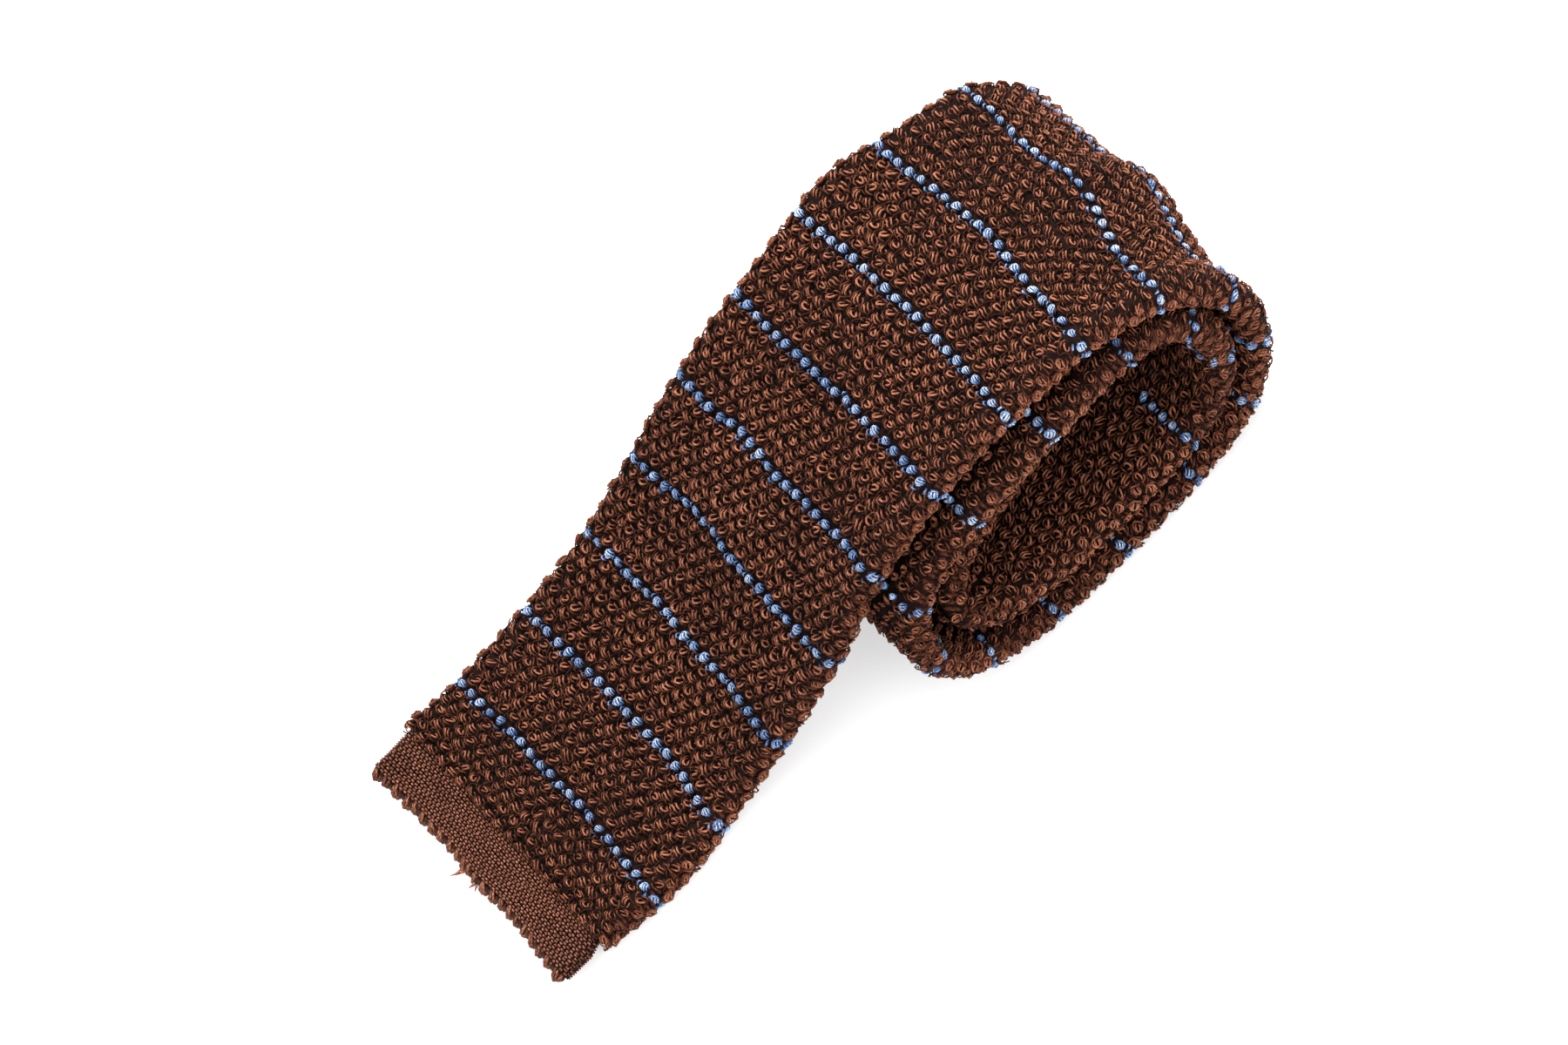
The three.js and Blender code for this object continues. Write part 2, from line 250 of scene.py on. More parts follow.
def frames(s, q, face, thickness=BLADE_THICKNESS, inset=0.0, lift=0.0):
    """Place, along, across and outward directions; right-handed on both faces."""
    e = 0.25
    kw = dict(thickness=thickness, inset=inset, lift=lift)
    p = skin(s, q, face, **kw)
    along = skin(s + e, q, face, **kw) - skin(s - e, q, face, **kw)
    cross = skin(s, q + e, face, **kw) - skin(s, q - e, face, **kw)
    along /= np.linalg.norm(along, axis=-1, keepdims=True)
    cross *= face[..., None]
    normal = np.cross(along, cross)
    normal /= np.linalg.norm(normal, axis=-1, keepdims=True)
    cross = np.cross(normal, along)
    return p, along, cross, normal


# =====================================================================
# Small strands as tubes, made once and then copied by arrays.
# =====================================================================
def tube(path, radius, sides, closed):
    """Vertices, quads and corner uv (u in mm along, v 0 to 1 round)."""
    path = np.asarray(path, float)
    n = len(path)
    radius = np.broadcast_to(np.asarray(radius, float), (n,))
    if closed:
        tangent = np.roll(path, -1, 0) - np.roll(path, 1, 0)
        gaps = np.linalg.norm(np.roll(path, -1, 0) - path, axis=1)
    else:
        tangent = np.gradient(path, axis=0)
        gaps = np.linalg.norm(np.diff(path, axis=0), axis=1)
    tangent /= np.linalg.norm(tangent, axis=1, keepdims=True)
    up = np.array([0.0, 0.0, 1.0])
    side = np.cross(tangent, up)
    weak = np.linalg.norm(side, axis=1) < 1e-3
    side[weak] = (1, 0, 0)
    side /= np.linalg.norm(side, axis=1, keepdims=True)
    top = np.cross(side, tangent)
    ang = 2 * np.pi * (np.arange(sides) + 0.5) / sides
    verts = path[:, None] + radius[:, None, None] * (np.cos(ang)[None, :, None] * side[:, None] + np.sin(ang)[None, :, None] * top[:, None])
    verts = verts.reshape(-1, 3)
    u = np.r_[0, np.cumsum(gaps)]
    quads, uv = [], []
    for i in range(n if closed else n - 1):
        k = (i + 1) % n
        for j in range(sides):
            m = (j + 1) % sides
            quads.append((i * sides + j, k * sides + j, k * sides + m, i * sides + m))
            uv.append(((u[i], j / sides), (u[i + 1], j / sides), (u[i + 1], (j + 1) / sides), (u[i], (j + 1) / sides)))
    return verts, np.array(quads), np.array(uv, float)


def join(*tubes):
    verts, quads, uv, base = [], [], [], 0
    for v, q, w in tubes:
        verts.append(v)
        quads.append(q + base)
        uv.append(w)
        base += len(v)
    return np.vstack(verts), np.vstack(quads), np.vstack(uv)


def bean(long_half, wide_half, radius, lean, crown, dive, segments, sides):
    """A closed loop seen as two strands with a slit between: a is along the knitting, c across it."""
    t = 2 * np.pi * np.arange(segments) / segments + 0.2
    a, c = wide_half * np.sin(t), long_half * np.cos(t)
    h = crown - dive * np.abs(np.cos(t)) ** 2.2
    h = h + 0.06 * np.sin(t)
    r = radius * (1.0 - 0.14 * np.abs(np.cos(t)) ** 3)
    ca, sa = math.cos(lean), math.sin(lean)
    return tube(np.stack([a * ca - c * sa, a * sa + c * ca, h], 1), r, sides, True)


def curl(long_half, wide_half, radius, lean, start, sweep, crown, dive, segments, sides):
    """An open loop whose two ends go down into the knitting; start and sweep in degrees."""
    k = np.linspace(-1, 1, segments)
    t = math.radians(start) + math.radians(sweep) * (k + 1) / 2
    a, c = wide_half * np.sin(t), long_half * np.cos(t)
    h = crown - dive * np.abs(np.cos(t)) ** 2.2 - 0.55 * np.abs(k) ** 4
    ca, sa = math.cos(lean), math.sin(lean)
    return tube(np.stack([a * ca - c * sa, a * sa + c * ca, h], 1), radius * (1.0 - 0.22 * np.abs(k) ** 3), sides, False)


def strand(points, radius, sides=3):
    """A short open strand that dives at both ends."""
    n = len(points)
    return tube(points, radius * (1.0 - 0.22 * np.abs(np.linspace(-1, 1, n)) ** 3), sides, False)


def shaken(points, amount, shake):
    return np.array(points, float) + shake.normal(0, amount, (len(points), 3)) * (1, 1, 0.6)


def crossing(shake):
    """Two thin strands crossing low between a stitch and its neighbours."""
    one = strand(shaken([(-1.15, -1.25, -0.70), (-0.45, -0.95, -0.40), (0.45, -1.02, -0.44), (1.15, -1.35, -0.74)], 0.09, shake), 0.14)
    two = strand(shaken([(-1.05, 0.35, -0.70), (-1.00, 1.05, -0.42), (-0.70, 1.62, -0.46), (-0.30, 2.00, -0.76)], 0.07, shake), 0.14)
    return one, two


def brown_stitch(level, kind, variant):
    """kind 1 is a row of clear loops, kind 0 the looser row between, kind 2 a knob at the edge."""
    shake = np.random.default_rng(100 * kind + 10 * level + variant)
    lean = math.radians((16, 8, 24)[variant])
    if kind == 2:
        if level < 2:
            return bean(0.60, 0.50, 0.29, 0.3 * lean, 0.02, 0.22, 7, 3)
        ring = curl(0.80, 0.58, 0.20, 0.5 * lean, (40, 130, 250)[variant], 305, 0.03, 0.20, 9, 4)
        one = strand(shaken([(-0.50, -0.50, -0.45), (-0.30, 0.04, 0.12), (0.02, 0.46, 0.14), (0.26, 0.80, -0.35)], 0.07, shake), 0.16)
        two = strand(shaken([(-0.10, -0.84, -0.40), (0.06, -0.34, 0.16), (0.30, 0.12, 0.14), (0.48, 0.52, -0.40)], 0.07, shake), 0.16)
        under = strand(shaken([(-0.98, 0.30, -0.60), (-0.80, -0.52, -0.14), (0.0, -1.06, -0.06), (0.82, -0.52, -0.14), (1.0, 0.30, -0.60)], 0.07, shake), 0.17)
        return join(ring, one, two, under)
    if level == 3 and kind == 1:
        loop = curl(0.76, 0.36, 0.19, lean, (20, 75, 160)[variant], 292, 0.14, 0.24, 9, 4)
        left = strand(shaken([(-0.72, -0.62, -0.62), (-0.86, 0.02, -0.20), (-0.66, 0.72, -0.12), (-0.16, 1.12, -0.18), (0.16, 1.20, -0.70)], 0.08, shake), 0.165)
        top = strand(shaken([(0.30, 0.72, -0.55), (0.48, 1.20, -0.10), (0.86, 1.16, -0.10), (1.02, 0.70, -0.50)], 0.08, shake), 0.145)
        right = strand(shaken([(0.72, 0.42, -0.45), (0.84, -0.10, -0.10), (0.70, -0.70, -0.22), (0.36, -1.06, -0.66)], 0.08, shake), 0.145)
        return join(loop, left, top, right, *crossing(shake))
    if level == 3:
        one = strand(shaken([(-0.66, -0.72, -0.55), (-0.50, -0.28, -0.04), (-0.24, 0.18, 0.08), (0.04, 0.60, 0.02), (0.12, 0.90, -0.42)], 0.08, shake), 0.175, 4)
        two = strand(shaken([(-0.06, -0.95, -0.50), (0.08, -0.42, 0.02), (0.36, 0.02, 0.12), (0.60, 0.42, -0.04), (0.58, 0.84, -0.48)], 0.08, shake), 0.17, 4)
        over = strand(shaken([(-0.98, -0.02, -0.55), (-0.82, 0.52, -0.18), (-0.38, 0.98, -0.08), (0.22, 1.20, -0.22), (0.50, 1.22, -0.70)], 0.09, shake), 0.15)
        low = strand(shaken([(0.56, -0.22, -0.55), (0.86, -0.58, -0.10), (0.76, -1.06, -0.12), (0.36, -1.32, -0.55)], 0.09, shake), 0.15)
        return join(one, two, over, low, *crossing(shake))
    if level == 2:
        loop = curl(0.70, 0.38, 0.21, lean, (200, 75, 160)[variant], 295, 0.14, 0.30, 8, 4)
        over = strand([(-0.80, -0.30, -0.60), (-0.70, 0.62, -0.15), (0.10, 1.15, -0.15), (0.80, 0.80, -0.20), (0.95, 0.05, -0.60)], 0.19)
        return join(loop, over)
    if level == 1:
        return bean(0.74, 0.40, 0.30, lean, 0.06, 0.40, 8, 3)
    return bean(0.78, 0.44, 0.36, lean, 0.0, 0.4, 5, 3)


def blue_stitch(level):
    if level == 2:
        ring = curl(0.74, 0.58, 0.19, math.radians(20), 205, 305, 0.0, 0.22, 9, 4)
        one = strand([(-0.50, -0.52, -0.45), (-0.40, 0.02, 0.10), (-0.12, 0.50, 0.12), (0.14, 0.92, -0.35)], 0.185, 3)
        two = strand([(-0.22, -0.86, -0.40), (-0.06, -0.30, 0.22), (0.16, 0.16, 0.24), (0.42, 0.62, -0.35)], 0.195, 3)
        three = strand([(0.14, -0.92, -0.45), (0.28, -0.50, 0.08), (0.48, -0.10, 0.10), (0.64, 0.30, -0.45)], 0.175, 3)
        tuft = strand([(-1.02, 0.66, -0.70), (-0.96, 1.12, -0.16), (-0.66, 1.36, -0.10), (-0.36, 1.42, -0.66)], 0.20, 3)
        return join(ring, one, two, three, tuft)
    return bean(0.55, 0.34, 0.44, math.radians(20), 0.05, 0.30, 7, 4)


class Pile:
    """Collects copies of a small mesh for one piece."""

    def __init__(self):
        self.v, self.q, self.uv, self.tint, self.deep, self.n = [], [], [], [], [], 0

    def add(self, shape, p, along, cross, normal, size, spin, tint, tip=None, flat=None):
        """size is (k, 3) for a, c, h; spin turns about the normal; tip tilts the stitch along the knitting."""
        verts, quads, uv = shape
        k, n = len(p), len(verts)
        if k == 0:
            return
        local = verts[None] * size[:, None, :]
        cs, sn = np.cos(spin)[:, None], np.sin(spin)[:, None]
        a = local[..., 0] * cs - local[..., 1] * sn
        c = local[..., 0] * sn + local[..., 1] * cs
        h = local[..., 2].copy()
        if tip is not None:
            h = h + a * np.sin(tip)[:, None]
        w = p[:, None] + a[..., None] * along[:, None] + c[..., None] * cross[:, None] + h[..., None] * normal[:, None]
        w[..., 2] = np.maximum(w[..., 2], 0.03)
        self.v.append(w.reshape(-1, 3))
        self.q.append((quads[None] + (np.arange(k) * n)[:, None, None] + self.n).reshape(-1, 4))
        shift = rng.random((k, 1, 1, 2))
        self.uv.append((uv[None] + shift * np.array([3.0, 1.0])).reshape(-1, 4, 2))
        self.tint.append(np.repeat(tint, n))
        # painted shade: the lower a vertex lies in its stitch, the darker it is coloured
        self.deep.append(np.clip((verts[:, 2] + 0.75) / 1.0, 0, 1)[None].repeat(k, 0).ravel())
        self.n += k * n

    def add_mesh(self, verts, quads, uv, tint, deep):
        w = verts.copy()
        w[:, 2] = np.maximum(w[:, 2], 0.03)
        self.v.append(w)
        self.q.append(quads + self.n)
        self.uv.append(uv)
        self.tint.append(np.broadcast_to(tint, len(w)).astype(float))
        self.deep.append(np.broadcast_to(deep, len(w)).astype(float))
        self.n += len(w)

    def build(self, name, material):
        v, q, uv = np.vstack(self.v) * MM, np.vstack(self.q), np.vstack(self.uv)
        mesh = bpy.data.meshes.new(name)
        mesh.vertices.add(len(v))
        mesh.vertices.foreach_set("co", v.astype(np.float32).ravel())
        mesh.loops.add(len(q) * 4)
        mesh.loops.foreach_set("vertex_index", q.astype(np.int32).ravel())
        mesh.polygons.add(len(q))
        mesh.polygons.foreach_set("loop_start", (np.arange(len(q)) * 4).astype(np.int32))
        mesh.polygons.foreach_set("use_smooth", np.ones(len(q), bool))
        layer = mesh.uv_layers.new(name="yarn")
        layer.data.foreach_set("uv", uv.astype(np.float32).ravel())
        for label, values in (("tint", np.concatenate(self.tint)), ("deep", np.concatenate(self.deep))):
            mesh.attributes.new(label, "FLOAT", "POINT").data.foreach_set("value", values.astype(np.float32))
        mesh.update(calc_edges=True)
        mesh.validate()
        mesh.materials.append(material)
        obj = bpy.data.objects.new(name, mesh)
        bpy.context.scene.collection.objects.link(obj)
        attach(obj, "root")
        print(name, len(q) * 2, "triangles")
        return obj


# =====================================================================
# Materials
# =====================================================================
def material(name):
    m = bpy.data.materials.new(name)
    m.use_nodes = True
    m.node_tree.nodes.clear()
    return m, m.node_tree.nodes, m.node_tree.links


def yarn_material(name, dark, mid, light, plies, twist, rough, sheen, sheen_tint, bump):
    """Plied yarn: painted highlight on the plies and painted shade in the grooves between them, fine fibres along them,
    a tone of its own for each stitch that also carries painted light and shade, and painted shade on the low parts of
    each stitch.
    """
    m, nodes, links = material(name)
    out = nodes.new("ShaderNodeOutputMaterial")
    bsdf = nodes.new("ShaderNodeBsdfPrincipled")
    links.new(bsdf.outputs[0], out.inputs[0])
    uv = nodes.new("ShaderNodeUVMap")
    uv.uv_map = "yarn"
    split = nodes.new("ShaderNodeSeparateXYZ")
    links.new(uv.outputs[0], split.inputs[0])

    def math_node(op, a, b=None, clamp=False):
        n = nodes.new("ShaderNodeMath")
        n.operation, n.use_clamp = op, clamp
        for i, x in enumerate((a, b)):
            if x is None:
                continue
            if isinstance(x, (int, float)):
                n.inputs[i].default_value = x
            else:
                links.new(x, n.inputs[i])
        return n.outputs[0]

    turn = math_node("ADD", math_node("MULTIPLY", split.outputs[1], float(plies)), math_node("MULTIPLY", split.outputs[0], twist))
    wave = math_node("SINE", math_node("MULTIPLY", turn, 2 * math.pi))
    ply = math_node("POWER", math_node("ADD", math_node("MULTIPLY", wave, 0.5), 0.5), 0.55)
    # fibres lie along the plies
    fibre_at = nodes.new("ShaderNodeCombineXYZ")
    links.new(math_node("MULTIPLY", split.outputs[0], 1.2), fibre_at.inputs[0])
    links.new(math_node("MULTIPLY", turn, 3.2), fibre_at.inputs[1])
    fibre = nodes.new("ShaderNodeTexNoise")
    fibre.inputs["Scale"].default_value = 2.6
    fibre.inputs["Detail"].default_value = 3.0
    links.new(fibre_at.outputs[0], fibre.inputs["Vector"])
    tint = nodes.new("ShaderNodeAttribute")
    tint.attribute_name = "tint"
    deep = nodes.new("ShaderNodeAttribute")
    deep.attribute_name = "deep"
    place = nodes.new("ShaderNodeTexCoord")
    cloud = nodes.new("ShaderNodeTexNoise")
    cloud.inputs["Scale"].default_value = 90.0
    cloud.inputs["Detail"].default_value = 2.0
    links.new(place.outputs["Object"], cloud.inputs["Vector"])
    grain = nodes.new("ShaderNodeTexNoise")
    grain.inputs["Scale"].default_value = 2600.0
    grain.inputs["Detail"].default_value = 2.0
    links.new(place.outputs["Object"], grain.inputs["Vector"])
    share = math_node("ADD", math_node("MULTIPLY", tint.outputs["Fac"], 0.36),
                      math_node("ADD", math_node("MULTIPLY", fibre.outputs["Fac"], 0.80), math_node("MULTIPLY", cloud.outputs["Fac"], 0.22)))
    share = math_node("ADD", math_node("ADD", share, math_node("MULTIPLY", grain.outputs["Fac"], 1.20)), -0.66)
    # painted highlight on the plies and painted shade in the grooves between them
    share = math_node("MULTIPLY", share, math_node("ADD", math_node("MULTIPLY", ply, 0.50), 0.60))
    # painted shade on the low parts of each stitch
    share = math_node("MULTIPLY", share, math_node("ADD", math_node("MULTIPLY", math_node("POWER", deep.outputs["Fac"], 1.45), 1.10), 0.085))
    ramp = nodes.new("ShaderNodeValToRGB")
    el = ramp.color_ramp.elements
    el[0].position, el[0].color = 0.06, (*dark, 1)
    el[1].position, el[1].color = 0.90, (*light, 1)
    new = el.new(0.44)
    new.color = (*mid, 1)
    links.new(share, ramp.inputs[0])
    links.new(ramp.outputs[0], bsdf.inputs["Base Color"])
    height = math_node("ADD", math_node("MULTIPLY", ply, 0.75), math_node("MULTIPLY", fibre.outputs["Fac"], 0.5))
    b = nodes.new("ShaderNodeBump")
    b.inputs["Strength"].default_value = bump
    b.inputs["Distance"].default_value = 0.00012
    links.new(height, b.inputs["Height"])
    links.new(b.outputs[0], bsdf.inputs["Normal"])
    bsdf.inputs["Roughness"].default_value = rough
    bsdf.inputs["Specular IOR Level"].default_value = 0.14
    bsdf.inputs["Specular Tint"].default_value = (*sheen_tint, 1)
    bsdf.inputs["Sheen Weight"].default_value = sheen
    bsdf.inputs["Sheen Roughness"].default_value = 0.45
    bsdf.inputs["Sheen Tint"].default_value = (*sheen_tint, 1)
    return m


def painted_shade_core_material():
    """What shows between the stitches: a near-black colour painted as the shade in the gaps of the knitting."""
    m, nodes, links = material("knit_inside_painted_shade")
    out = nodes.new("ShaderNodeOutputMaterial")
    bsdf = nodes.new("ShaderNodeBsdfPrincipled")
    links.new(bsdf.outputs[0], out.inputs[0])
    place = nodes.new("ShaderNodeTexCoord")
    noise = nodes.new("ShaderNodeTexNoise")
    noise.inputs["Scale"].default_value = 900.0
    noise.inputs["Detail"].default_value = 4.0
    links.new(place.outputs["Object"], noise.inputs["Vector"])
    ramp = nodes.new("ShaderNodeValToRGB")
    ramp.color_ramp.elements[0].position = 0.35
    ramp.color_ramp.elements[0].color = (0.0030, 0.0010, 0.0008, 1)
    ramp.color_ramp.elements[1].position = 0.75
    ramp.color_ramp.elements[1].color = (0.020, 0.0065, 0.0042, 1)
    links.new(noise.outputs["Fac"], ramp.inputs[0])
    links.new(ramp.outputs[0], bsdf.inputs["Base Color"])
    b = nodes.new("ShaderNodeBump")
    b.inputs["Strength"].default_value = 0.8
    b.inputs["Distance"].default_value = 0.0004
    links.new(noise.outputs["Fac"], b.inputs["Height"])
    links.new(b.outputs[0], bsdf.inputs["Normal"])
    bsdf.inputs["Roughness"].default_value = 0.9
    bsdf.inputs["Specular IOR Level"].default_value = 0.1
    return m


BROWN = yarn_material("brown_yarn", (0.0075, 0.0017, 0.0010), (0.143, 0.0412, 0.0212), (0.485, 0.183, 0.102), 3, 0.95, 0.6, 0.06, (1.0, 0.66, 0.50), 0.9)
FINE = yarn_material("fine_brown_yarn", (0.009, 0.0025, 0.0014), (0.152, 0.0505, 0.0285), (0.600, 0.245, 0.155), 3, 1.2, 0.6, 0.06, (1.0, 0.70, 0.55), 0.7)
BLUE = yarn_material("blue_yarn", (0.003, 0.010, 0.038), (0.100, 0.205, 0.470), (0.74, 0.85, 0.99), 3, 0.8, 0.5, 0.08, (0.85, 0.92, 1.0), 1.0)
PAINTED_SHADE_CORE = painted_shade_core_material()


# =====================================================================
# The inside of the knitting: one smooth closed form a little under the stitches, near-black as painted shade in the
# gaps.
# =====================================================================
def closed_loft(name, s_list, thickness, inset, lift, shrink, mat, per_face=18, edge_shrink=0.34):
    rings = []
    for s in s_list:
        r = thickness / 2
        half = float(line_at(np.array(s))[3]) / 2 - inset - r
        arc = math.pi / 2 * r
        q = np.concatenate([np.linspace(0, arc, 5)[:-1], np.linspace(arc, arc + 2 * half, per_face), np.linspace(arc + 2 * half, 2 * arc + 2 * half, 5)[1:]])
        flat_share = np.clip((np.minimum(q, 2 * arc + 2 * half - q) - arc) / 2.0, 0, 1)
        depth = shrink * float(np.interp(s, [122, 132, 160, 176, 226, 233, 250, 257], [1.0, 0.72, 0.72, 1.0, 1.0, 0.66, 0.66, 1.0]))
        edge_depth = edge_shrink * float(np.interp(s, [112, 122, 162, 174], [1.0, 0.5, 0.5, 1.0]))
        across, up = outline(q, half, r, -depth + (depth - min(depth, edge_depth)) * (1 - flat_share))
        ring_a = np.concatenate([across, across[1:-1][::-1]])
        ring_u = np.concatenate([up, -up[1:-1][::-1]])
        rings.append(knit_point(np.full(len(ring_a), float(s)), ring_a, ring_u, lift))
    n = len(rings[0])
    verts = np.vstack(rings) * MM
    faces = []
    for k in range(len(rings) - 1):
        for i in range(n):
            j = (i + 1) % n
            faces.append((k * n + i, (k + 1) * n + i, (k + 1) * n + j, k * n + j))
    faces.append(tuple(range(n)))
    faces.append(tuple((len(rings) - 1) * n + i for i in reversed(range(n))))
    mesh = bpy.data.meshes.new(name)
    mesh.from_pydata(verts.tolist(), [], faces)
    mesh.validate()
    for p in mesh.polygons:
        p.use_smooth = True
    mesh.materials.append(mat)
    obj = bpy.data.objects.new(name, mesh)
    bpy.context.scene.collection.objects.link(obj)
    import bmesh
    bm = bmesh.new()
    bm.from_mesh(mesh)
    bmesh.ops.recalc_face_normals(bm, faces=bm.faces)
    bm.to_mesh(mesh)
    bm.free()
    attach(obj, "root")
    return obj


CORE_DEPTH = 1.15
core = closed_loft("knit_inside_painted_shade", np.linspace(0.2, BLADE_LENGTH - 0.3, 230), BLADE_THICKNESS, 0.0, 0.0, CORE_DEPTH, PAINTED_SHADE_CORE)
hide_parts("knitted_blade")

# =====================================================================
# Rows.  A blue row at each stripe and seven brown rows between two stripes.
# =====================================================================
STRIPES = [10.2, 25.5, 42.0, 58.7, 75.9, 92.8, 108.8, 125.1, 139.0, 151.9, 163.3, 174.0, 188.5, 204.2, 218.6, 231.1,
           240.7, 250.8, 267.5, 285.4, 302.2, 313.8, 321.9, 336.8]
ROWS_PER_STRIPE = 8
STITCH_PITCH = 2.95

rows, is_blue = [], []
rows += [STRIPES[0] - 1.64 * k for k in range(6, 0, -1)]
is_blue += [False] * len(rows)
for i, s in enumerate(STRIPES):
    rows.append(s)
    is_blue.append(True)
    if i + 1 < len(STRIPES):
        step = (STRIPES[i + 1] - s) / ROWS_PER_STRIPE
        rows += [s + step * k for k in range(1, ROWS_PER_STRIPE)]
        is_blue += [False] * (ROWS_PER_STRIPE - 1)
s = STRIPES[-1] + 1.93
while s < BLADE_LENGTH - 0.9:
    rows.append(s)
    is_blue.append(False)
    s += 1.93
rows, is_blue = np.array(rows), np.array(is_blue)
first_blue = int(np.flatnonzero(is_blue)[0])

# Where a stripe bends out of line: rows shift along the knitting by these
# amounts (mm), by stripe and by how far across.
BEND_ACROSS = [-30, -25, -20, -15, -10, -5, 0, 5, 10, 15, 20, 25, 30]
BENDS = [
    # s along the knitting, shifts at the places across
    (0.4,   [0.0, 0.0, 0.0, 0.0, 0.0, 0.0, 0.0, 0.0, 0.0, 0.0, 0.0, 0.0, 0.0]),
    (10.2,  [0.2, 1.0, 1.2, 1.4, 1.5, 1.4, 1.3, 1.2, 1.2, 1.0, 0.6, 0.4, 0.3]),
    (25.5,  [0.0, 0.6, 1.4, 2.0, 2.1, 2.1, 2.0, 2.1, 1.7, 1.5, 1.4, 1.1, 0.8]),
    (42.0,  [0.0, 0.8, 1.6, 2.2, 2.4, 2.4, 2.5, 3.1, 2.9, 2.7, 2.6, 2.3, 1.6]),
    (58.7,  [0.2, 1.6, 1.8, 1.8, 2.0, 2.0, 2.2, 3.5, 3.4, 3.0, 2.4, 2.2, 1.5]),
    (75.9,  [0.2, 1.2, 1.7, 1.8, 1.9, 1.5, 1.3, 2.1, 2.3, 1.6, 1.5, 1.6, 1.1]),
    (92.8,  [0.0, 0.6, 0.8, 1.2, 1.2, 1.1, 0.9, 0.9, 0.8, 0.7, 0.6, 0.7, 0.5]),
    (108.8, [0.1, 1.0, 1.3, 1.4, 1.6, 1.7, 1.7, 1.5, 1.2, 1.1, 0.8, 0.4, 0.2]),
    (125.1, [0.0, 0.3, 0.3, 0.7, 1.1, 1.8, 2.0, 1.6, 1.1, 0.6, 0.2, -0.4, -0.4]),
    (139.0, [0.0, -0.4, -0.2, 0.5, 1.4, 2.2, 2.4, 2.1, 2.1, 1.8, 1.8, 1.6, 1.0]),
    (151.9, [0.0, -0.2, -0.2, 0.0, 0.5, 1.1, 1.3, 1.1, 1.0, 0.8, 0.8, 0.6, 0.3]),
    (163.3, [0.0, 0.0, 0.0, 0.0, 0.0, 0.0, 0.0, 0.0, 0.0, 0.0, 0.0, 0.0, 0.0]),
]


def bend(s, across):
    """Shift along the knitting, between the rows of BENDS."""
    at = np.array([b[0] for b in BENDS])
    table = np.array([b[1] for b in BENDS])
    columns = np.stack([np.interp(s, at, table[:, k]) for k in range(table.shape[1])], -1)
    x = np.clip((across - BEND_ACROSS[0]) / 5.0, 0, 11.999)
    i = x.astype(int)
    t = x - i
    take = lambda k: np.take_along_axis(columns, k[..., None], -1)[..., 0]
    return take(i) * (1 - t) + take(i + 1) * t


def wander(s, q, seed, scale):
    """A slow, smooth unevenness, from -1 to 1."""
    r = np.random.default_rng(seed)
    total = 0.0
    for _ in range(5):
        f, g, p = r.uniform(0.6, 1.6) / scale, r.uniform(-1.4, 1.4) / scale, r.uniform(0, 6.3)
        total = total + np.sin(2 * math.pi * (f * s + g * q) + p)
    return total / 2.6


# Every stitch: its row, place round the outline, face.  The places run round
# the edges in the same steps as over the faces, and every second row lies
# half a step over.  END marks the stitches at the edges.
stitch = {"s": [], "q": [], "face": [], "row": [], "edge": [], "blue": []}
for i, (s, blue) in enumerate(zip(rows, is_blue)):
    full = float(half_round(np.array(s)))
    steps = max(6, int(round((full - 2.0) / (2.905 * float(line_at(np.array(s))[3]) / 60.0))))
    step = (full - 2.0) / steps
    if (i - first_blue) % 2 == 0:
        top = 1.0 + np.arange(steps + 1) * step
        low = step - 1.0 + np.arange(steps) * (full - 2 * step + 2.0) / (steps - 1)
    else:
        top = 1.0 - step / 2 + np.arange(steps + 2) * step
        low = 1.5 * step - 1.0 + np.arange(steps - 1) * (full - 3 * step + 2.0) / (steps - 2)
    for face, q in ((1, top), (-1, low)):
        stitch["s"].append(np.full(len(q), s))
        stitch["q"].append(q)
        stitch["face"].append(np.full(len(q), face))
        stitch["row"].append(np.full(len(q), i))
        stitch["edge"].append((q < 2.0) | (q > full - 2.6))
        stitch["blue"].append(np.full(len(q), blue))
S, Q, FACE, ROW, EDGE, IS_BLUE = (np.concatenate(stitch[k]) for k in ("s", "q", "face", "row", "edge", "blue"))
IS_BLUE &= ~((S > 330) & (Q > 14))
HALF_ROUND = half_round(S)
ACROSS = outline(Q, line_at(S)[3] / 2 - R, R)[0]
S = S + bend(S, ACROSS)
pitch_along = np.gradient(rows)[ROW]
jitter = lambda amount: rng.normal(0, amount, len(S))
S = S + np.clip(jitter(0.07), -0.16, 0.16) + 0.12 * wander(S, Q, 3, 17.0) + np.where(IS_BLUE, 0, 0.05 * np.where(ROW % 2, 1, -1))
Q = Q + np.where(EDGE, 0, np.clip(jitter(0.10), -0.22, 0.22) + 0.22 * wander(S, Q, 4, 23.0))
S = np.clip(S, 0.3, BLADE_LENGTH - 0.7)
P, ALONG, CROSS, NORMAL = frames(S, Q, FACE)

# How near another layer lies over each stitch, to spend less on what can't be seen.
probe_s = np.linspace(0, BLADE_LENGTH, 900)
middle = np.stack(line_at(probe_s)[:2], 1)
x0, z0, _, _, _, dx0, dz0 = line_at(S)
out_x, out_z = x0 - dz0 * FACE * R, z0 + dx0 * FACE * R
covered = np.zeros(len(S), bool)
for reach in (1.0, 2.2, 3.4):
    px, pz = out_x - dz0 * FACE * reach, out_z + dx0 * FACE * reach
    for start in range(0, len(S), 2000):
        block = slice(start, start + 2000)
        d = np.hypot(px[block, None] - middle[None, :, 0], pz[block, None] - middle[None, :, 1])
        d[np.abs(S[block, None] - probe_s[None]) < 9] = 99
        covered[block] |= d.min(1) < R + 0.4
FAR = HALF_ROUND - Q
from_edge = np.minimum(Q, FAR)
LEVEL = np.full(len(S), 1)
LEVEL[(FACE > 0) & (S < 188) & ~covered] = 3
LEVEL[(FACE > 0) & (S > 226) & (S < 246) & ~covered] = 2
